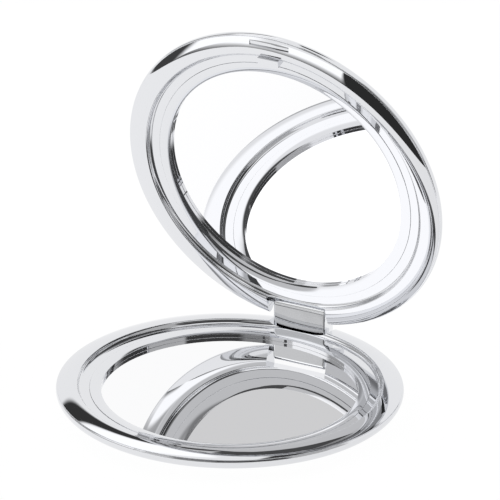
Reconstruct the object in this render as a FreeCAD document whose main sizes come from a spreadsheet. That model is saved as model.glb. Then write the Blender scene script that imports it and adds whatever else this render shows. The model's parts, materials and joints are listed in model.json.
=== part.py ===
"""Round chromed compact mirror: two alike halves on a double-pin hinge link, standing open."""
import FreeCAD, Part
import os

import Sketcher
from FreeCAD import Placement, Rotation, Vector

DOC = FreeCAD.newDocument("compact_mirror")
SHEET = DOC.addObject("Spreadsheet::Sheet", "dims")

# Driving dimensions in millimetres, and one angle in degrees. Widths add up outwards from the window.
DIMENSIONS = {
    # Mirror glass on its foam tape, and the sloping bezel that holds it down.
    "window_radius": 25.9,
    "glass_overlap": 0.7,
    "glass_clearance": 0.4,
    "glass_thickness": 1.3,
    "glass_seam": 0.15,
    "glass_below_equator": 0.8,
    "foam_thickness": 0.5,
    "foam_margin": 2.0,
    "bezel_width": 2.3,
    "bezel_groove": 0.1,
    "bezel_wall_height": 1.1,
    "bezel_fall": 0.3,
    # Rim over the shell's edge: floor of the hollow, its wall, round crest and the falling band.
    "hollow_floor_width": 1.46,
    "hollow_width": 0.83,
    "hollow_depth": 1.0,
    "crest_round_width": 0.41,
    "crest_round_drop": 0.33,
    "band_width": 3.72,
    "rim_setback": 0.13,
    "rim_edge_height": 0.1,
    "rim_rise": 1.2,
    "seat_width": 1.4,
    "spigot_clearance": 0.05,
    # Outer shell of a half: the lip above the widest line, the round edge, the dome and the flat foot.
    "lip_inset": 0.15,
    "lip_height": 0.45,
    "edge_radius": 1.75,
    "foot_inset": 12.1,
    "floor_thickness": 1.4,
    # Hinge: the two pins in the knuckles of each half, the link round both, and the notch it stands in.
    "closing_gap": 0.1,
    "pin_inset": 2.0,
    "pin_drop": 3.5,
    "pin_radius": 0.5,
    "pin_recess": 0.1,
    "knuckle_radius": 1.15,
    "knuckle_length": 1.9,
    "link_width": 11.6,
    "link_front_depth": 2.4,
    "link_back_depth": 1.6,
    "link_end_depth": 1.35,
    "link_corner": 1.2,
    "link_round": 0.3,
    "notch_side_clearance": 0.85,
    "notch_front_clearance": 1.2,
    "running_clearance": 0.04,
    "open_angle": 78.0,
    # Catch at the front, and the relief for a fingernail.
    "catch_width": 4.6,
    "catch_thickness": 1.4,
    "catch_offset": 0.24,
    "catch_reach": 0.8,
    "catch_clearance": 0.2,
    "catch_round": 0.2,
    "relief_width": 8.8,
    "relief_step": 1.8,
    "relief_drop": 0.45,
    # Length by which every cut runs past what it cuts.
    "overrun": 1.0,
}


class Size:
    """A size that carries its number and the sheet expression that gives it."""

    def __init__(self, value, text):
        self.value = value
        self.text = text

    def __add__(self, other):
        return Size(self.value + other.value, f"({self.text} + {other.text})")

    def __sub__(self, other):
        return Size(self.value - other.value, f"({self.text} - {other.text})")

    def __mul__(self, other):
        return Size(self.value * other.value, f"({self.text} * {other.text})")

    def __truediv__(self, other):
        return Size(self.value / other.value, f"({self.text} / {other.text})")

    def __neg__(self):
        return Size(-self.value, f"(-{self.text})")


def size(alias):
    return Size(float(SHEET.get(alias)), f"{SHEET.Name}.{alias}")


def fill_sheet():
    for row, (alias, dimension) in enumerate(DIMENSIONS.items(), start=1):
        SHEET.set(f"A{row}", alias)
        SHEET.set(f"B{row}", str(dimension))
        SHEET.setAlias(f"B{row}", alias)
    DOC.recompute()


fill_sheet()

ZERO = Size(0.0, "0")
TWO = Size(2.0, "2")
OVERRUN = size("overrun")
SAME_DIRECTION = 1e-3

# Heights in a half, measured up from its flat outer face.
FOAM_BACK = size("floor_thickness")
GLASS_BACK = FOAM_BACK + size("foam_thickness")
GLASS_FACE = GLASS_BACK + size("glass_thickness")
EQUATOR = GLASS_FACE + size("glass_below_equator")
CREASE = EQUATOR + size("lip_height")
CREST = EQUATOR + size("rim_rise")
PARTING = CREST + size("closing_gap") / TWO
PIN_HEIGHT = PARTING - size("pin_drop")
HOLLOW = CREST - size("hollow_depth")

# Radii in a half, from the mirror's window out to the widest line.
WINDOW = size("window_radius")
BEZEL = WINDOW + size("bezel_width")
RIM_BORE = BEZEL + size("bezel_groove")
HOLLOW_FLOOR = RIM_BORE + size("hollow_floor_width")
CREST_INNER = HOLLOW_FLOOR + size("hollow_width")
CREST_OUTER = CREST_INNER + size("crest_round_width")
BAND = CREST_OUTER + size("band_width")
LIP = BAND + size("rim_setback")
CASE = LIP + size("lip_inset")
SEAT = LIP - size("seat_width")
FOOT = CASE - size("foot_inset")
GLASS = WINDOW + size("glass_overlap")
POCKET = GLASS + size("glass_clearance")

# Hinge places, from the widest line inwards and from the link's middle outwards.
PIN_DISTANCE = CASE - size("pin_inset")
LINK_FRONT = PIN_DISTANCE - size("link_front_depth")
NOTCH_FRONT = LINK_FRONT - size("notch_front_clearance")
HALF_NOTCH = size("link_width") / TWO + size("notch_side_clearance")
KNUCKLE_SPAN = (HALF_NOTCH + size("knuckle_length")) * TWO
PIN_LENGTH = KNUCKLE_SPAN - size("pin_recess") * TWO


def bind(feature, name, length):
    """Tie one property of a feature to the sheet."""
    feature.setExpression(name, length.text)


def new_body(label):
    body = DOC.addObject("PartDesign::Body", label)
    body.Label = label
    return body


def new_sketch(body, name, role, height=ZERO):
    """Empty sketch on one of the body's own planes, moved along the plane's normal by a height."""
    sketch = body.newObject("Sketcher::SketchObject", f"{body.Name}_{name}")
    support = next(item for item in body.Origin.OriginFeatures if item.Role == role)
    sketch.AttachmentSupport = [(support, "")]
    sketch.MapMode = "FlatFace"
    sketch.AttachmentOffset = Placement(Vector(0, 0, height.value), Rotation())
    bind(sketch, "AttachmentOffset.Base.z", height)
    return sketch


def fix(sketch, kind, where, length):
    """Add a dimension to a sketch and tie it to the sheet."""
    index = sketch.addConstraint(Sketcher.Constraint(kind, *where, length.value))
    sketch.setExpression(f"Constraints[{index}]", length.text)


def place_point(sketch, edge, end, across, up):
    """Hold a point of an edge at its distances from the sketch's two axes."""
    for length, axis, kind in ((across, -2, "DistanceX"), (up, -1, "DistanceY")):
        if length is ZERO:
            sketch.addConstraint(Sketcher.Constraint("PointOnObject", edge, end, axis))
        else:
            fix(sketch, kind, (-1, 1, edge, end), length)


def arc_between(start, end, radius, turn):
    """Short arc between two corners, bending left or right on the way, always kept anticlockwise."""
    chord = end - start
    left = Vector(-chord.y, chord.x, 0).normalize()
    inward = left if turn == "left" else -left
    sagitta = radius - (radius ** 2 - (chord.Length / 2) ** 2) ** 0.5
    middle = start + chord / 2 - inward * sagitta
    return Part.Arc(start, middle, end) if turn == "left" else Part.Arc(end, middle, start)


def outline(body, name, role, path, height=ZERO):
    """Closed sketch: a corner is (across, up), with (radius, turn) added where the next edge is an arc."""
    sketch = new_sketch(body, name, role, height)
    ends = []
    for corner, following in zip(path, path[1:] + path[:1]):
        start = Vector(corner[0].value, corner[1].value, 0)
        end = Vector(following[0].value, following[1].value, 0)
        if len(corner) == 2:
            edge = sketch.addGeometry(Part.LineSegment(start, end))
            ends.append((edge, 1, 2))
            continue
        radius, turn = corner[2:]
        edge = sketch.addGeometry(arc_between(start, end, radius.value, turn))
        ends.append((edge, 1, 2) if turn == "left" else (edge, 2, 1))
        fix(sketch, "Radius", (edge,), radius)
    for (edge, _, last), (following, first, _) in zip(ends, ends[1:] + ends[:1]):
        sketch.addConstraint(Sketcher.Constraint("Coincident", edge, last, following, first))
    for (edge, first, _), corner in zip(ends, path):
        place_point(sketch, edge, first, corner[0], corner[1])
    return sketch


def rectangle(body, name, role, left, right, low, high, height=ZERO):
    return outline(body, name, role, [(left, low), (right, low), (right, high), (left, high)], height)


def circle(body, name, role, across, up, radius, height=ZERO):
    sketch = new_sketch(body, name, role, height)
    centre = Vector(across.value, up.value, 0)
    edge = sketch.addGeometry(Part.Circle(centre, Vector(0, 0, 1), radius.value))
    place_point(sketch, edge, 3, across, up)
    fix(sketch, "Radius", (edge,), radius)
    return sketch


def turn_round(body, sketch):
    """Full turn of a section about the half's upright axis."""
    feature = body.newObject("PartDesign::Revolution", f"{sketch.Name}_turned")
    feature.Profile = sketch
    feature.ReferenceAxis = (sketch, ["V_Axis"])
    feature.Angle = 360
    return feature


def extrude(body, sketch, kind, length, centred=False):
    """Pad or Pocket of a sketch along its normal, over a length from its plane or centred on it."""
    feature = body.newObject(f"PartDesign::{kind}", f"{sketch.Name}_{kind.lower()}")
    feature.Profile = sketch
    feature.Length = length.value
    bind(feature, "Length", length)
    feature.Midplane = centred
    feature.Reversed = kind == "Pocket" and not centred
    return feature


def faces_along(feature, direction):
    """Names of the flat faces of a feature that look along a direction."""
    names = []
    for index, face in enumerate(feature.Shape.Faces, start=1):
        if isinstance(face.Surface, Part.Plane) and face.normalAt(0, 0).isEqual(direction, SAME_DIRECTION):
            names.append(f"Face{index}")
    return names


def level_arc(run, drop):
    """Radius of an arc that starts square to the drop and falls by it over the run."""
    return (run * run + drop * drop) / (TWO * drop)


def cut_notch(body):
    """Straight-walled notch at the back of a half, in which the hinge link stands."""
    back = CASE + OVERRUN
    sketch = rectangle(body, "notch", "XY_Plane", -HALF_NOTCH, HALF_NOTCH, NOTCH_FRONT, back, -OVERRUN)
    extrude(body, sketch, "Pocket", PARTING + OVERRUN + OVERRUN)


def make_shell(label):
    """Outer shell: flat foot, shallow dome, round edge, mirror pocket, rim seat and two bored knuckles."""
    body = new_body(label)
    edge = size("edge_radius")
    # The dome leaves the foot level and runs into the round edge without a break.
    run = CASE - edge - FOOT
    dome = (run * run + EQUATOR * EQUATOR - edge * edge) / (TWO * (EQUATOR - edge))
    stretch = dome / (dome - edge)
    section = outline(body, "section", "XZ_Plane", [
        (ZERO, ZERO),
        (FOOT, ZERO, dome, "left"),
        (FOOT + run * stretch, dome - (dome - EQUATOR) * stretch, edge, "left"),
        (CASE, EQUATOR, level_arc(size("lip_height"), size("lip_inset")), "left"),
        (LIP, CREASE),
        (SEAT, CREASE),
        (SEAT, GLASS_FACE),
        (POCKET, GLASS_FACE),
        (POCKET, FOAM_BACK),
        (ZERO, FOAM_BACK),
    ])
    turn_round(body, section)
    barrel = circle(body, "barrel", "YZ_Plane", PIN_DISTANCE, PIN_HEIGHT, size("knuckle_radius"))
    extrude(body, barrel, "Pad", KNUCKLE_SPAN, centred=True)
    cut_notch(body)
    bore = circle(body, "bore", "YZ_Plane", PIN_DISTANCE, PIN_HEIGHT, size("pin_radius"))
    extrude(body, bore, "Pocket", KNUCKLE_SPAN + OVERRUN, centred=True)
    return body


def make_rim(label):
    """Rim: band, crest and hollow above, spigot below, and a flat for a fingernail at the front."""
    body = new_body(label)
    band_foot = CREASE + size("rim_edge_height")
    crest_foot = CREST - size("crest_round_drop")
    spigot = SEAT - size("spigot_clearance")
    section = outline(body, "section", "XZ_Plane", [
        (BAND, CREASE),
        (BAND, band_foot, level_arc(size("band_width"), CREST - band_foot), "left"),
        (CREST_OUTER, CREST, level_arc(size("crest_round_width"), size("crest_round_drop")), "left"),
        (CREST_INNER, crest_foot, level_arc(size("hollow_width"), crest_foot - HOLLOW), "right"),
        (HOLLOW_FLOOR, HOLLOW),
        (RIM_BORE, HOLLOW),
        (RIM_BORE, GLASS_FACE),
        (spigot, GLASS_FACE),
        (spigot, CREASE),
    ])
    turn_round(body, section)
    cut_notch(body)
    half_relief = size("relief_width") / TWO
    front = -CASE - OVERRUN
    back = -CREST_OUTER - size("relief_step")
    floor = CREST - size("relief_drop")
    relief = rectangle(body, "relief", "XY_Plane", -half_relief, half_relief, front, back, floor)
    extrude(body, relief, "Pocket", size("relief_drop") + OVERRUN)
    return body


def catch_outline(body, name, clearance, height):
    """Plan of the catch, grown all round by a clearance."""
    half_width = size("catch_width") / TWO + clearance
    half_thickness = size("catch_thickness") / TWO + clearance
    middle = -HOLLOW_FLOOR - size("catch_offset")
    return rectangle(body, name, "XY_Plane", -half_width, half_width,
                     middle - half_thickness, middle + half_thickness, height)


def add_catch(body):
    """Tongue that stands in the hollow and reaches past the parting plane."""
    reach = PARTING + size("catch_reach") - GLASS_FACE
    tongue = extrude(body, catch_outline(body, "catch", ZERO, GLASS_FACE), "Pad", reach)
    DOC.recompute()
    level_faces = faces_along(tongue, Vector(0, 0, 1))
    top = max(level_faces, key=lambda name: tongue.Shape.getElement(name).CenterOfMass.z)
    fillet = body.newObject("PartDesign::Fillet", f"{body.Name}_catch_round")
    fillet.Base = (tongue, [top])
    fillet.Radius = size("catch_round").value
    bind(fillet, "Radius", size("catch_round"))


def cut_catch_recess(body):
    """Recess that takes the tongue of the other half."""
    floor = PARTING - size("catch_reach") - size("catch_clearance")
    sketch = catch_outline(body, "recess", size("catch_clearance"), floor)
    extrude(body, sketch, "Pocket", PARTING - floor + OVERRUN)


def make_bezel(label):
    """Ring whose top falls in a curve to the window, seated on the glass's edge and the shell round it."""
    body = new_body(label)
    shoulder = GLASS_FACE + size("bezel_wall_height")
    section = outline(body, "section", "XZ_Plane", [
        (WINDOW, GLASS_FACE),
        (BEZEL, GLASS_FACE),
        (BEZEL, shoulder, level_arc(size("bezel_width"), size("bezel_fall")), "left"),
        (WINDOW, shoulder - size("bezel_fall")),
    ])
    turn_round(body, section)
    return body


def make_mirror(label):
    """Round glass with seamed edges, silvered on its back."""
    body = new_body(label)
    disc = circle(body, "disc", "XY_Plane", ZERO, ZERO, GLASS, GLASS_BACK)
    glass = extrude(body, disc, "Pad", size("glass_thickness"))
    DOC.recompute()
    seam = body.newObject("PartDesign::Chamfer", f"{label}_seam")
    seam.Base = (glass, faces_along(glass, Vector(0, 0, 1)) + faces_along(glass, Vector(0, 0, -1)))
    seam.Size = size("glass_seam").value
    bind(seam, "Size", size("glass_seam"))
    return body


def make_foam(label):
    """Disc of foam tape that holds the mirror to the shell's floor."""
    body = new_body(label)
    radius = GLASS - size("foam_margin")
    disc = circle(body, "disc", "XY_Plane", ZERO, ZERO, radius, FOAM_BACK)
    extrude(body, disc, "Pad", size("foam_thickness"))
    return body


def make_pin(label):
    """Plain steel pin, pressed through both knuckles of a half."""
    pin = DOC.addObject("Part::Cylinder", label)
    pin.Label = label
    bind(pin, "Radius", size("pin_radius"))
    bind(pin, "Height", PIN_LENGTH)
    start = Vector(-PIN_LENGTH.value / 2, PIN_DISTANCE.value, PIN_HEIGHT.value)
    pin.Placement = Placement(start, Rotation(Vector(0, 1, 0), 90))
    return pin


def make_link(label):
    """Hinge link: an upright block with rounded edges, bored for both pins."""
    body = new_body(label)
    low_pin = PIN_HEIGHT
    high_pin = PARTING + size("pin_drop")
    back = PIN_DISTANCE + size("link_back_depth")
    low = low_pin - size("link_end_depth")
    high = high_pin + size("link_end_depth")
    corner = size("link_corner")
    plan = outline(body, "outline", "YZ_Plane", [
        (LINK_FRONT + corner, low),
        (back - corner, low, corner, "left"),
        (back, low + corner),
        (back, high - corner, corner, "left"),
        (back - corner, high),
        (LINK_FRONT + corner, high, corner, "left"),
        (LINK_FRONT, high - corner),
        (LINK_FRONT, low + corner, corner, "left"),
    ])
    block = extrude(body, plan, "Pad", size("link_width"), centred=True)
    DOC.recompute()
    rounding = body.newObject("PartDesign::Fillet", f"{label}_round")
    rounding.Base = (block, faces_along(block, Vector(1, 0, 0)) + faces_along(block, Vector(-1, 0, 0)))
    rounding.Radius = size("link_round").value
    bind(rounding, "Radius", size("link_round"))
    bore = size("pin_radius") + size("running_clearance")
    for name, level in (("low_bore", low_pin), ("high_bore", high_pin)):
        sketch = circle(body, name, "YZ_Plane", PIN_DISTANCE, level, bore)
        extrude(body, sketch, "Pocket", size("link_width") + OVERRUN, centred=True)
    return body


def make_half(name):
    """The six pieces of one half, lying on its flat outer face with the hinge at the back."""
    rim = make_rim(f"{name}_rim")
    if name == "lid":
        add_catch(rim)
    else:
        cut_catch_recess(rim)
    return [
        make_shell(f"{name}_shell"),
        rim,
        make_bezel(f"{name}_bezel"),
        make_mirror(f"{name}_mirror"),
        make_foam(f"{name}_mirror_pad"),
        make_pin(f"{name}_hinge_pin"),
    ]


def lid_placement():
    """Turn a half over onto the base, then swing it open about the link's upper pin."""
    closed = Placement(Vector(0, 0, PARTING.value * 2), Rotation(Vector(0, 1, 0), 180))
    upper_pin = Vector(0, PIN_DISTANCE.value, PARTING.value + size("pin_drop").value)
    swing = Rotation(Vector(1, 0, 0), -size("open_angle").value)
    return Placement(Vector(0, 0, 0), swing, upper_pin).multiply(closed)


def check_document(pieces):
    """Stop if a feature failed, a cut removed nothing or a piece isn't one sound solid."""
    for item in DOC.Objects:
        if "Invalid" in item.State or "Error" in item.State:
            raise RuntimeError(f"{item.Label} failed: {item.State}")
        if item.TypeId == "PartDesign::Pocket" and item.Shape.Volume >= item.BaseFeature.Shape.Volume:
            raise RuntimeError(f"{item.Label} cut nothing")
    for piece in pieces:
        if piece.Shape.isNull() or not piece.Shape.isValid() or len(piece.Shape.Solids) != 1:
            raise RuntimeError(f"{piece.Label} is not one sound solid")


def main():
    base = make_half("base")
    lid = make_half("lid")
    for piece in lid:
        piece.Placement = lid_placement().multiply(piece.Placement)
    pieces = base + lid + [make_link("hinge_link")]
    DOC.recompute()
    check_document(pieces)
    os.makedirs("parts", exist_ok=True)
    for piece in pieces:
        piece.Shape.exportStep(f"parts/{piece.Label}.step")


main()
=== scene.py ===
import json

import bmesh
import bpy
import numpy as np
from mathutils import Matrix, Vector


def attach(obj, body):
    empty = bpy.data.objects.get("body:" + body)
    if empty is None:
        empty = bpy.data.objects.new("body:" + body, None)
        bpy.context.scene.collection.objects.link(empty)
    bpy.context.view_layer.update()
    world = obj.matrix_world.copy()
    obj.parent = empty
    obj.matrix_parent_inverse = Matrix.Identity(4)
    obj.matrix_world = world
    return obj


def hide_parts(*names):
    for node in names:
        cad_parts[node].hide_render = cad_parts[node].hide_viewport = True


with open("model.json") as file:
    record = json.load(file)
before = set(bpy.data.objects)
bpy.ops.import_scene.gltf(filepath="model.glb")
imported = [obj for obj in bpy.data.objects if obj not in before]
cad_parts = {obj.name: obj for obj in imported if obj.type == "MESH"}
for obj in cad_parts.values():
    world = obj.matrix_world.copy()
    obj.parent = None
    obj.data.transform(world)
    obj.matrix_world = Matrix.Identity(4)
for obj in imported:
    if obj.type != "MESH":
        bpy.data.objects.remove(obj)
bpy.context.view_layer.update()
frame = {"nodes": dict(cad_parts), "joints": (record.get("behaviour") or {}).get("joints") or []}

# Outer shells of base and lid: a shallow dish each, moulded in ABS and chrome plated. It stands on a flat
# foot, sweeps up in a low dome to a tight round edge and carries everything else on its inner ledges. The
# notch at the back leaves room for the hinge link, and a knuckle on each side of it holds the link's pin.
MM = 0.001
HALVES = ("base", "lid")
COLUMNS, PIN_SIDES, END_ROWS, CORNER_POINTS = 360, 64, 7, 5
SHARP_ANGLE = np.radians(32)
SAME_POINT, CUT_PAST, END_GUARD = 1e-4, 1.0, 0.25
PARTING = 5.25
NOTCH = ((-6.65, 30.0, -1.0), (6.65, 36.0, 7.0))
SHELL_SECTION = [
    (0.0, 0.0),
    (22.9, 0.0, 26.678, 24),
    (33.977, 2.409, 1.75, 24),
    (35.0, 4.0, 0.75, 8),
    (34.85, 4.45),
    (33.45, 4.45),
    (33.45, 3.2),
    (27.0, 3.2),
    (27.0, 1.4),
    (0.0, 1.4),
]
SHELL_SOFTNESS, FLAT_GUARD = 0.06, 1.6
PIN_BACK, PIN_LOW, PIN_RADIUS = 33.0, 1.75, 0.5
KNUCKLE_RADIUS, KNUCKLE_END, KNUCKLE_ROUND = 1.15, 8.55, 0.12
FILM_GRAIN, RIPPLE_GRAIN, RIPPLE_DEPTH = 7.0, 3.0, 0.01


def section(corners, softness):
    """Closed outline of a turned piece in radius and height.

    A corner is (r, z), or (r, z, radius, points) where the edge to the next corner is an arc. Its centre
    lies left of the chord for a positive radius and right of it for a negative one, far enough that both
    ends are on the circle. Each hard corner off the axis is then replaced by a quadratic curve, which
    leaves both edges at the softness from the corner and has the corner as its control point. One more
    point on each edge, a little farther off, keeps the flats beside it flat in their shading.
    """
    edges = []
    for corner, following in zip(corners, corners[1:] + corners[:1]):
        start, end = np.array(corner[:2]), np.array(following[:2])
        if len(corner) == 2:
            edges.append(start[None])
            continue
        radius, points = corner[2:]
        half = (end - start) / 2
        left = np.array((-half[1], half[0])) / np.hypot(*half)
        centre = start + half + left * np.sign(radius) * np.sqrt(radius ** 2 - half @ half)
        first = np.arctan2(*(start - centre)[::-1])
        turn = np.arctan2(*(end - centre)[::-1]) - first
        turn = (turn + np.pi) % (2 * np.pi) - np.pi
        angle = first + turn * np.linspace(0, 1, points, endpoint=False)
        edges.append(centre + abs(radius) * np.stack((np.cos(angle), np.sin(angle)), axis=1))
    line = np.concatenate(edges)
    back, ahead = np.roll(line, 1, axis=0) - line, np.roll(line, -1, axis=0) - line
    reach = np.minimum(np.hypot(*back.T), np.hypot(*ahead.T))
    back /= np.hypot(*back.T)[:, None]
    ahead /= np.hypot(*ahead.T)[:, None]
    hard = (np.sum(back * ahead, axis=1) > -np.cos(SHARP_ANGLE)) & (line[:, 0] > 0)
    reach = np.minimum(softness, reach / (2 * FLAT_GUARD))[:, None, None]
    share = np.linspace(0, 1, CORNER_POINTS)
    to_back = np.array((FLAT_GUARD, *(1 - share) ** 2, 0.0))[None, :, None]
    to_ahead = np.array((0.0, *share ** 2, FLAT_GUARD))[None, :, None]
    curve = line[:, None] + reach * (to_back * back[:, None] + to_ahead * ahead[:, None])
    curve[~hard] = line[~hard][:, None]
    middle = np.arange(curve.shape[1]) == curve.shape[1] // 2
    return curve[hard[:, None] | middle] * MM


def turned(name, outline):
    """Solid of revolution: outline point (r, z) goes round to (r sin a, r cos a, z), in equal steps of a."""
    angle = np.linspace(0, 2 * np.pi, COLUMNS, endpoint=False)
    r, z = outline.T
    height = np.repeat(z[:, None], COLUMNS, axis=1)
    points = np.stack((np.outer(r, np.sin(angle)), np.outer(r, np.cos(angle)), height), axis=-1)
    number = np.arange(len(r) * COLUMNS).reshape(len(r), COLUMNS)
    above, beside = np.roll(number, -1, axis=0), np.roll(number, -1, axis=1)
    faces = np.stack((number, beside, np.roll(beside, -1, axis=0), above), axis=-1)
    if r[0] == 0:
        faces = faces[:-1]
    return solid(name, points.reshape(-1, 3), faces.reshape(-1, 4).tolist())


def solid(name, points, faces):
    """Object from points and faces, with repeated points at poles joined and the faces turned outwards."""
    mesh = bpy.data.meshes.new(name)
    mesh.from_pydata(points.tolist(), [], faces)
    skin = bmesh.new()
    skin.from_mesh(mesh)
    bmesh.ops.remove_doubles(skin, verts=skin.verts, dist=SAME_POINT * MM)
    bmesh.ops.recalc_face_normals(skin, faces=skin.faces)
    skin.to_mesh(mesh)
    skin.free()
    piece = bpy.data.objects.new(name, mesh)
    bpy.context.scene.collection.objects.link(piece)
    return piece


def block(low, high):
    """Closed box between two corners given in millimetres, as a tool for a cut."""
    low, high = np.array(low), np.array(high)
    corners = np.array([(x, y, z) for x in (0, 1) for y in (0, 1) for z in (0, 1)])
    faces = [(0, 1, 3, 2), (4, 6, 7, 5), (0, 4, 5, 1), (2, 3, 7, 6), (0, 2, 6, 4), (1, 5, 7, 3)]
    return solid("tool", (low + corners * (high - low)) * MM, faces)


def ring(radius, height):
    """Closed loop of (y, z) round a hinge pin: its centre plus the radius along equal steps of angle."""
    angle = np.linspace(0, 2 * np.pi, PIN_SIDES, endpoint=False)
    return np.stack((PIN_BACK + radius * np.cos(angle), height + radius * np.sin(angle)), axis=1)


def across(name, half_width, edge, loop):
    """Body swept along X between plus and minus the half width: rows of one loop, closed at both ends.

    Towards each end x comes back by edge (1 - cos t) while the loop is drawn in by edge (1 - sin t), for t
    from 0 at the end to a right angle, which rounds the end's edge. One more row keeps the sides flat.
    """
    t = np.linspace(0, np.pi / 2, END_ROWS if edge else 1)
    x, inset = half_width - edge * (1 - np.cos(t)), edge * (1 - np.sin(t))
    if edge:
        x, inset = np.append(x, x[-1] - END_GUARD * edge), np.append(inset, 0.0)
    places = list(zip(-x, inset)) + list(zip(x[::-1], inset[::-1]))
    rows = np.stack([np.insert(loop(drawn_in), 0, at, axis=1) for at, drawn_in in places])
    count = rows.shape[1]
    number = np.arange(len(rows) * count).reshape(len(rows), count)
    beside = np.roll(number, -1, axis=1)
    sides = np.stack((number[:-1], beside[:-1], beside[1:], number[1:]), axis=-1).reshape(-1, 4)
    faces = sides.tolist() + [number[0][::-1].tolist(), number[-1].tolist()]
    return solid(name, rows.reshape(-1, 3) * MM, faces)


def shape(piece, operation, tool):
    """Cut a tool out of a piece or unite it with the piece, for good."""
    step = piece.modifiers.new("shape", "BOOLEAN")
    step.operation = operation
    step.object = tool
    step.solver = "EXACT"
    shaped = piece.evaluated_get(bpy.context.evaluated_depsgraph_get())
    made = bpy.data.meshes.new_from_object(shaped)
    piece.modifiers.clear()
    piece.data = made
    bpy.data.objects.remove(tool)


def finish_piece(piece, half, node, material):
    """Smooth the piece, put it in its half's place, and let it stand for its node."""
    piece.data.materials.clear()
    piece.data.materials.append(material)
    piece.data.shade_smooth()
    piece.data.set_sharp_from_angle(angle=SHARP_ANGLE)
    if half == "lid":
        piece.data.transform(lid_place())
    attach(piece, half)
    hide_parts(node)


def lid_place():
    """Turn a half over onto the base, then swing it about the lid's pin from its shut limit to rest."""
    pivot = next(joint for joint in frame["joints"] if joint["name"] == "lid_pivot")
    pin = Matrix.Translation(pivot["pos_m"])
    swing = Matrix.Rotation(-np.radians(pivot["range_deg"][0]), 4, Vector(pivot["axis"]))
    over = Matrix.Translation((0, 0, 2 * PARTING * MM)) @ Matrix.Rotation(np.pi, 4, "Y")
    return pin @ swing @ pin.inverted() @ over


def linear(colour):
    """Linear RGBA of an sRGB hex colour.

    A channel is c / 12.92 up to 0.04045, else ((c + 0.055) / 1.055) to the power 2.4.
    """
    c = np.array([int(colour[i:i + 2], 16) for i in (1, 3, 5)]) / 255
    return (*np.where(c <= 0.04045, c / 12.92, ((c + 0.055) / 1.055) ** 2.4), 1.0)


def empty_tree(owner):
    """Node tree of a new material or world, with nothing in it."""
    owner.use_nodes = True
    owner.node_tree.nodes.clear()
    return owner.node_tree


def add_node(tree, kind, inputs, **settings):
    """New node with its settings, each input a fixed value or the output that feeds it."""
    node = tree.nodes.new(kind)
    for name, value in settings.items():
        setattr(node, name, value)
    for name, value in inputs.items():
        if isinstance(value, bpy.types.NodeSocket):
            tree.links.new(value, node.inputs[name])
        else:
            node.inputs[name].default_value = value
    return node


def uneven_roughness(tree, grain, detail, harshness, spread, smooth, rough):
    """Roughness that wanders over a piece: noise with a grain in millimetres, mapped to two values."""
    place = add_node(tree, "ShaderNodeTexCoord", {})
    noise = add_node(tree, "ShaderNodeTexNoise", {
        "Vector": place.outputs["Object"], "Scale": 1 / (grain * MM), "Detail": detail,
        "Roughness": harshness})
    mapped = add_node(tree, "ShaderNodeMapRange", {
        "Value": noise.outputs["Fac"], "From Min": spread[0], "From Max": spread[1],
        "To Min": smooth, "To Max": rough})
    return mapped.outputs["Result"]


def chrome_plating(name, colour, gloss, haze):
    """Nickel-chrome over moulded ABS: a clear mirror, with a faint handling film and moulding ripple."""
    material = bpy.data.materials.new(name)
    tree = empty_tree(material)
    film = uneven_roughness(tree, FILM_GRAIN, 5.0, 0.6, (0.35, 0.75), gloss, haze)
    place = add_node(tree, "ShaderNodeTexCoord", {})
    ripple = add_node(tree, "ShaderNodeTexNoise", {
        "Vector": place.outputs["Object"], "Scale": 1 / (RIPPLE_GRAIN * MM), "Detail": 1.0})
    bump = add_node(tree, "ShaderNodeBump", {
        "Height": ripple.outputs["Fac"], "Strength": 0.2, "Distance": RIPPLE_DEPTH * MM})
    metal = add_node(tree, "ShaderNodeBsdfPrincipled", {
        "Base Color": linear(colour), "Metallic": 1.0, "Roughness": film, "Normal": bump.outputs["Normal"]})
    add_node(tree, "ShaderNodeOutputMaterial", {"Surface": metal.outputs["BSDF"]})
    return material


bright_chrome = chrome_plating("chrome_plated_abs", "#E2E3E6", 0.01, 0.04)

for half in HALVES:
    shell = turned(f"{half}_outer_shell", section(SHELL_SECTION, SHELL_SOFTNESS))
    knuckle = across(
        "tool", KNUCKLE_END, KNUCKLE_ROUND, lambda inset: ring(KNUCKLE_RADIUS - inset, PIN_LOW))
    shape(shell, "UNION", knuckle)
    shape(shell, "DIFFERENCE", block(*NOTCH))
    bore = across("tool", KNUCKLE_END + CUT_PAST, 0.0, lambda inset: ring(PIN_RADIUS, PIN_LOW))
    shape(shell, "DIFFERENCE", bore)
    finish_piece(shell, half, f"{half}_shell", bright_chrome)

# Rims: a ring of plated ABS each, pressed over the shell's edge. A sloping band rises to a round crest,
# behind which a shallow hollow runs in to the bezel. The lid's rim carries the catch and a flat for a
# fingernail at the front, and the base's rim has the catch's recess.
RIM_SECTION = [
    (34.72, 4.45),
    (34.72, 4.55, 10.97, 32),
    (31.0, 5.2, 0.42, 12),
    (30.59, 4.87, -0.849, 24),
    (29.76, 4.2),
    (28.22, 4.2),
    (28.22, 3.2),
    (33.4, 3.2),
    (33.4, 4.45),
]
RIM_SOFTNESS = 0.06
NAIL_FLAT = ((-4.4, -36.0, 4.75), (4.4, -32.8, 7.0))
CATCH_RECESS = ((-2.5, -30.9, 4.25), (2.5, -29.1, 7.0))
CATCH_TONGUE = ((-2.3, -30.7, 3.4), (2.3, -29.3, 6.05))

for half in HALVES:
    rim = turned(f"{half}_crest_rim", section(RIM_SECTION, RIM_SOFTNESS))
    shape(rim, "DIFFERENCE", block(*NOTCH))
    if half == "base":
        shape(rim, "DIFFERENCE", block(*CATCH_RECESS))
    else:
        shape(rim, "DIFFERENCE", block(*NAIL_FLAT))
        shape(rim, "UNION", block(*CATCH_TONGUE))
    finish_piece(rim, half, f"{half}_rim", bright_chrome)

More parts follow.
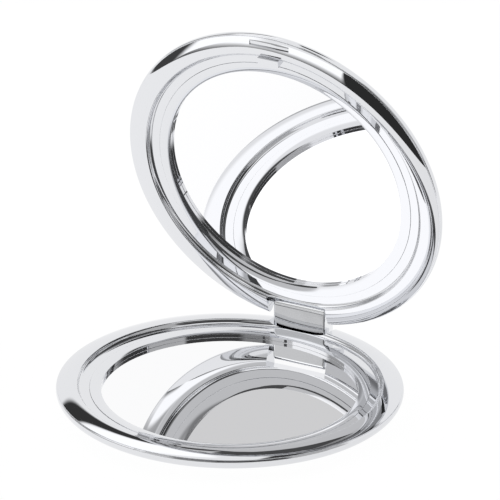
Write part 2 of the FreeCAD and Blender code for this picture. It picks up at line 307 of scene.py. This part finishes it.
# Bezels: a ring of plated ABS each, glued down over the glass edge and the ledge round it. Its top is level
# at the outer edge and falls in an arc to the window.
BEZEL_SECTION = [
    (25.9, 3.2),
    (28.2, 3.2),
    (28.2, 4.3, 8.967, 24),
    (25.9, 4.0),
]
BEZEL_SOFTNESS = 0.08

for half in HALVES:
    bezel = turned(f"{half}_sloping_bezel", section(BEZEL_SECTION, BEZEL_SOFTNESS))
    finish_piece(bezel, half, f"{half}_bezel", bright_chrome)

# Mirrors: a disc of float glass each, with seamed edges and silver on its back. The eye gets the silver's
# clear reflection and the glass's own fainter one.
GLASS_SECTION = [
    (0.0, 1.9),
    (26.45, 1.9),
    (26.6, 2.05),
    (26.6, 3.05),
    (26.45, 3.2),
    (0.0, 3.2),
]
GLASS_SOFTNESS = 0.0
WIPE_GRAIN = 14.0


def silvered_glass(name):
    """Silver seen through clear glass: a cool white metal, with the glass's face as a clear coat."""
    material = bpy.data.materials.new(name)
    tree = empty_tree(material)
    wipe = uneven_roughness(tree, WIPE_GRAIN, 4.0, 0.5, (0.4, 0.8), 0.0, 0.012)
    silver = add_node(tree, "ShaderNodeBsdfPrincipled", {
        "Base Color": linear("#FAFAFB"), "Metallic": 1.0, "Roughness": wipe,
        "Coat Weight": 1.0, "Coat Roughness": 0.0, "Coat IOR": 1.52})
    add_node(tree, "ShaderNodeOutputMaterial", {"Surface": silver.outputs["BSDF"]})
    return material


mirror_silver = silvered_glass("silvered_float_glass")

for half in HALVES:
    glass = turned(f"{half}_silvered_glass", section(GLASS_SECTION, GLASS_SOFTNESS))
    finish_piece(glass, half, f"{half}_mirror", mirror_silver)

# Hinge link: a block of ABS with rounded edges that stands in both notches, bored for a pin at each end. Its
# plating is a little duller than the rest, which gives its flat face an even grey.
LINK_HALF_WIDTH, LINK_ROUND, LINK_CORNER, BORE_RADIUS = 5.8, 0.3, 1.2, 0.54
LINK_MIDDLE, LINK_HALF_SIZE = (32.6, 5.25), (2.0, 4.85)
LINK_CORNER_POINTS, LINK_RUN_ON = 17, 0.1
PIN_HIGH = 8.75


def rounded_rectangle(inset):
    """Closed loop of (y, z): a quarter circle round each corner's centre, drawn in by the inset.

    Both ends of a quarter run on a little along their flat sides, which keeps those flat in their shading.
    """
    angle = np.arange(4)[:, None] * np.pi / 2 + np.linspace(0, np.pi / 2, LINK_CORNER_POINTS)
    aside = np.stack((np.cos(angle), np.sin(angle)), axis=-1)
    along = np.stack((-np.sin(angle), np.cos(angle)), axis=-1)
    corner = np.sign(aside.sum(axis=1, keepdims=True)) * (np.array(LINK_HALF_SIZE) - LINK_CORNER)
    arc = corner + (LINK_CORNER - inset) * aside
    before, after = arc[:, :1] - LINK_RUN_ON * along[:, :1], arc[:, -1:] + LINK_RUN_ON * along[:, -1:]
    return np.array(LINK_MIDDLE) + np.concatenate((before, arc, after), axis=1).reshape(-1, 2)


link = across("bored_hinge_link", LINK_HALF_WIDTH, LINK_ROUND, rounded_rectangle)
for height in (PIN_LOW, PIN_HIGH):
    bore = across("tool", LINK_HALF_WIDTH + CUT_PAST, 0.0, lambda inset: ring(BORE_RADIUS, height))
    shape(link, "DIFFERENCE", bore)
satin_chrome = chrome_plating("satin_chrome_plated_abs", "#EDEEF0", 0.04, 0.08)
finish_piece(link, "link", "hinge_link", satin_chrome)

# Foam tape under each glass, which glues it to the shell's floor and is hidden there, and the two hinge pins,
# drawn steel pressed into the knuckles, seen only at their ends. Their solids show as they are.
FOAM_GRAIN, STEEL_GRAIN = 0.4, 0.3


def plain_material(name, colour, metallic, smooth, rough, grain):
    """Even colour that shines between two roughnesses: fine cells on the tape, drawing marks on the pins."""
    material = bpy.data.materials.new(name)
    tree = empty_tree(material)
    surface = add_node(tree, "ShaderNodeBsdfPrincipled", {
        "Base Color": linear(colour), "Metallic": metallic,
        "Roughness": uneven_roughness(tree, grain, 3.0, 0.5, (0.3, 0.7), smooth, rough)})
    add_node(tree, "ShaderNodeOutputMaterial", {"Surface": surface.outputs["BSDF"]})
    return material


foam = plain_material("polyethylene_foam_tape", "#EDECE6", 0.0, 0.7, 0.95, FOAM_GRAIN)
steel = plain_material("drawn_steel", "#B9BABC", 1.0, 0.2, 0.35, STEEL_GRAIN)
for half in HALVES:
    frame["nodes"][f"{half}_mirror_pad"].material_slots[0].material = foam
    frame["nodes"][f"{half}_hinge_pin"].material_slots[0].material = steel

# Stage: a sheet of white paper in a white tent that has darker and brighter panels. To all rays but the
# camera's, the paper glows with painted light, brighter on the left. In front of the sheet's edge lies a
# bench, a glowing sheet with painted light and a painted shadow on it, and a dark card hangs over it, a
# faintly glowing sheet that puts a painted dark reflection into the chrome. The chrome picks all this up as
# streaks, while bench and card are hidden from the camera, to which paper and tent are plain white.
bpy.context.scene.view_settings.view_transform = "Standard"
WHITE = "#FFFFFF"
SHEET = [(-66.0, -82.0), (80.0, -42.0), (80.0, 900.0), (-900.0, 900.0), (-900.0, 363.0)]
SHEET_LEVEL = -0.05
PAPER_TO_CAMERA, PAPER_LIT = 0.96, 0.06
# Painted light: to all rays but the camera's, the paper glows brighter on the left, where the light falls,
# and dimmer to the right.
PAPER_PAINTED_LIGHT_X, PAPER_PAINTED_LIGHT = (-60.0, 50.0), (1.0, 0.92)
# The bench is a glowing sheet hidden from the camera. Its glow is painted light far in front, falling to
# painted shade near the sheet's edge, with a painted shadow of the camera stand right of x -19 mm.
BENCH = [(-105.0, -250.0), (60.0, -250.0), (60.0, -30.0), (-105.0, -30.0)]
BENCH_LEVEL = -0.3
BENCH_PAINTED_SHADOW_X, BENCH_PAINTED_SHADOW = (-22.0, -19.0), 0.03
BENCH_PAINTED_LIGHT_Y, BENCH_PAINTED_LIGHT = (-125.0, -72.0), (1.3, 0.12)
CARD = [
    (-14.0, 94.0), (-56.0, 112.0), (-80.0, 110.0), (-92.0, 96.0), (-108.0, 66.0),
    (-118.0, 66.0), (-118.0, 98.0), (-96.0, 104.0), (-96.0, 175.0), (-5.0, 175.0)]
# The card glows faintly and is hidden from the camera: it paints a dark reflection into the chrome.
CARD_Y, CARD_PAINTED_SHADE = -175.0, 0.08
TENT_LEVEL, TENT_TO_CAMERA = 1.0, 1.0
# A panel is its azimuth from the front, half width, lowest and highest elevation, softness across and
# upwards, all in degrees, and its level.
PANELS = [
    (-138, 14, 28.3, 38, 1.5, 1.2, 0.04),
    (-173, 9.5, 38, 66, 1.5, 2.0, 0.04),
    (-134, 16, 39, 58, 1.5, 2.0, 1.3),
    (-90, 18, 3, 44, 4.0, 3.0, 0.4),
    (-52, 20, -2, 11, 3.0, 3.0, 0.45),
    (-49, 20, 25, 58, 4.0, 6.0, 1.3),
    (-18, 13, -9, 42, 1.0, 1.0, 0.66),
    (5, 16, -9, 14, 4.0, 3.0, 0.36),
    (5, 15, 13, 30, 3.0, 2.0, 0.25),
    (2, 14, 30, 70, 3.0, 3.0, 0.08),
    (43, 27, 3, 50, 4.0, 4.0, 0.05),
    (88, 20, 0, 55, 3.0, 3.0, 0.5),
    (-35, 21, 44, 57, 3.0, 2.0, 1.3),
    (-40, 13, -27, -1, 2.0, 1.0, 1.3),
    (-51, 7, -34, -8, 2.0, 1.5, 0.06),
    (71, 21, -24, -2, 3.0, 2.0, 0.05),
]


def stage_sheet(name, corners, material):
    """Flat sheet between corners (x, y, z) in millimetres, for the stage."""
    sheet = solid(name, np.array(corners) * MM, [tuple(range(len(corners)))])
    sheet.data.materials.append(material)
    return sheet


paper = bpy.data.materials.new("white_paper_sweep")
tree = empty_tree(paper)
place = add_node(tree, "ShaderNodeTexCoord", {}).outputs["Object"]
place = add_node(tree, "ShaderNodeSeparateXYZ", {"Vector": place}).outputs
# Painted light: the paper's glow falls off from left to right across X, as if lit from the left.
painted_light_slope = add_node(tree, "ShaderNodeMapRange", {
    "Value": place["X"], "From Min": PAPER_PAINTED_LIGHT_X[0] * MM, "From Max": PAPER_PAINTED_LIGHT_X[1] * MM,
    "To Min": PAPER_PAINTED_LIGHT[0], "To Max": PAPER_PAINTED_LIGHT[1]}, interpolation_type="SMOOTHSTEP").outputs["Result"]
seen = add_node(tree, "ShaderNodeLightPath", {}).outputs["Is Camera Ray"]
strength = add_node(tree, "ShaderNodeMapRange", {
    "Value": seen, "To Min": painted_light_slope, "To Max": PAPER_TO_CAMERA}).outputs["Result"]
glow = add_node(tree, "ShaderNodeEmission", {"Color": linear(WHITE), "Strength": strength})
lit = add_node(tree, "ShaderNodeBsdfDiffuse", {"Color": (PAPER_LIT, PAPER_LIT, PAPER_LIT, 1.0)})
both = add_node(tree, "ShaderNodeAddShader", {0: glow.outputs["Emission"], 1: lit.outputs["BSDF"]})
add_node(tree, "ShaderNodeOutputMaterial", {"Surface": both.outputs["Shader"]})
stage_sheet("floor", [(x, y, SHEET_LEVEL) for x, y in SHEET], paper)

board = bpy.data.materials.new("bench_top_painted_light_and_shade")
tree = empty_tree(board)
place = add_node(tree, "ShaderNodeTexCoord", {}).outputs["Object"]
place = add_node(tree, "ShaderNodeSeparateXYZ", {"Vector": place}).outputs
# Painted light and shade in the bench's glow: bright far in front and dark near the sheet's edge, with a
# painted shadow past the step in X.
painted_fade = add_node(tree, "ShaderNodeMapRange", {
    "Value": place["Y"], "From Min": BENCH_PAINTED_LIGHT_Y[0] * MM, "From Max": BENCH_PAINTED_LIGHT_Y[1] * MM,
    "To Min": BENCH_PAINTED_LIGHT[0], "To Max": BENCH_PAINTED_LIGHT[1]}).outputs["Result"]
painted_shadow = add_node(tree, "ShaderNodeMapRange", {
    "Value": place["X"], "From Min": BENCH_PAINTED_SHADOW_X[0] * MM, "From Max": BENCH_PAINTED_SHADOW_X[1] * MM,
    "To Min": painted_fade, "To Max": BENCH_PAINTED_SHADOW}).outputs["Result"]
glow = add_node(tree, "ShaderNodeEmission", {"Color": linear(WHITE), "Strength": painted_shadow})
add_node(tree, "ShaderNodeOutputMaterial", {"Surface": glow.outputs["Emission"]})
bench = stage_sheet("bench", [(x, y, BENCH_LEVEL) for x, y in BENCH], board)
bench.visible_camera = False

# Painted reflection: a faintly glowing dark sheet that only the chrome's reflections see.
card_painted_dark_reflection = bpy.data.materials.new("card_painted_dark_reflection")
tree = empty_tree(card_painted_dark_reflection)
glow = add_node(tree, "ShaderNodeEmission", {"Color": linear(WHITE), "Strength": CARD_PAINTED_SHADE})
add_node(tree, "ShaderNodeOutputMaterial", {"Surface": glow.outputs["Emission"]})
card = stage_sheet("card", [(x, CARD_Y, z) for x, z in CARD], card_painted_dark_reflection)
card.visible_camera = False

world = bpy.data.worlds.new("white_tent")
bpy.context.scene.world = world
tree = empty_tree(world)
toward = add_node(tree, "ShaderNodeTexCoord", {}).outputs["Generated"]
flat = add_node(tree, "ShaderNodeVectorMath", {0: toward, 1: (1.0, 1.0, 0.0)}, operation="MULTIPLY")
flat = add_node(tree, "ShaderNodeVectorMath", {0: flat.outputs["Vector"]}, operation="NORMALIZE")
rise = add_node(tree, "ShaderNodeSeparateXYZ", {"Vector": toward}).outputs["Z"]
climb = add_node(tree, "ShaderNodeMath", {0: rise}, operation="ARCSINE").outputs["Value"]
level = TENT_LEVEL
for *angles, panel_level in PANELS:
    azimuth, half_width, low, high, soft_across, soft_up = np.radians(angles)
    facing = add_node(tree, "ShaderNodeVectorMath", {
        0: flat.outputs["Vector"], 1: (np.sin(azimuth), -np.cos(azimuth), 0.0)}, operation="DOT_PRODUCT")
    aside = add_node(tree, "ShaderNodeMath", {0: facing.outputs["Value"]}, operation="ARCCOSINE")
    cover = 1.0
    for value, outer, inner in (
            (aside.outputs["Value"], half_width + soft_across, half_width - soft_across),
            (climb, low - soft_up, low + soft_up),
            (climb, high + soft_up, high - soft_up)):
        step = add_node(tree, "ShaderNodeMapRange", {
            "Value": value, "From Min": outer, "From Max": inner}, interpolation_type="SMOOTHSTEP")
        cover = add_node(tree, "ShaderNodeMath", {
            0: cover, 1: step.outputs["Result"]}, operation="MULTIPLY").outputs["Value"]
    level = add_node(tree, "ShaderNodeMapRange", {
        "Value": cover, "To Min": level, "To Max": panel_level}).outputs["Result"]
seen = add_node(tree, "ShaderNodeLightPath", {}).outputs["Is Camera Ray"]
strength = add_node(tree, "ShaderNodeMapRange", {
    "Value": seen, "To Min": level, "To Max": TENT_TO_CAMERA}).outputs["Result"]
tent = add_node(tree, "ShaderNodeBackground", {"Color": linear(WHITE), "Strength": strength})
add_node(tree, "ShaderNodeOutputWorld", {"Surface": tent.outputs["Background"]})

# Camera: at the photograph's angle, far enough off to show the rings almost without perspective. It aims at
# a point above the base, and its lens gives the photograph's scale there.
AZIMUTH, ELEVATION, ROLL = np.radians((26.97, 24.71, 0.43))
DISTANCE, PIXELS_PER_MM, FRAME_PIXELS = 3000.0, 4.974, 500
AIM_ACROSS, AIM_UP, AIM_HEIGHT = 3.85, 27.87, 4.0
SENSOR_WIDTH, NEAREST, FARTHEST = 36.0, 0.1, 100.0
right = np.array((np.cos(AZIMUTH), np.sin(AZIMUTH), 0.0))
back = np.array((
    np.sin(AZIMUTH) * np.cos(ELEVATION), -np.cos(AZIMUTH) * np.cos(ELEVATION), np.sin(ELEVATION)))
up = np.cross(back, right)
eye = np.array((0.0, 0.0, AIM_HEIGHT)) + AIM_ACROSS * right + AIM_UP * up + DISTANCE * back
rolled_right = np.cos(ROLL) * right + np.sin(ROLL) * up
rolled_up = np.cos(ROLL) * up - np.sin(ROLL) * right
camera = bpy.data.objects.new("camera", bpy.data.cameras.new("camera"))
bpy.context.scene.collection.objects.link(camera)
bpy.context.scene.camera = camera
stand = np.column_stack((rolled_right, rolled_up, back, eye * MM))
camera.matrix_world = Matrix(np.vstack((stand, (0, 0, 0, 1))))
camera.data.sensor_width = SENSOR_WIDTH
camera.data.lens = SENSOR_WIDTH * PIXELS_PER_MM * DISTANCE / FRAME_PIXELS
camera.data.clip_start = NEAREST
camera.data.clip_end = FARTHEST
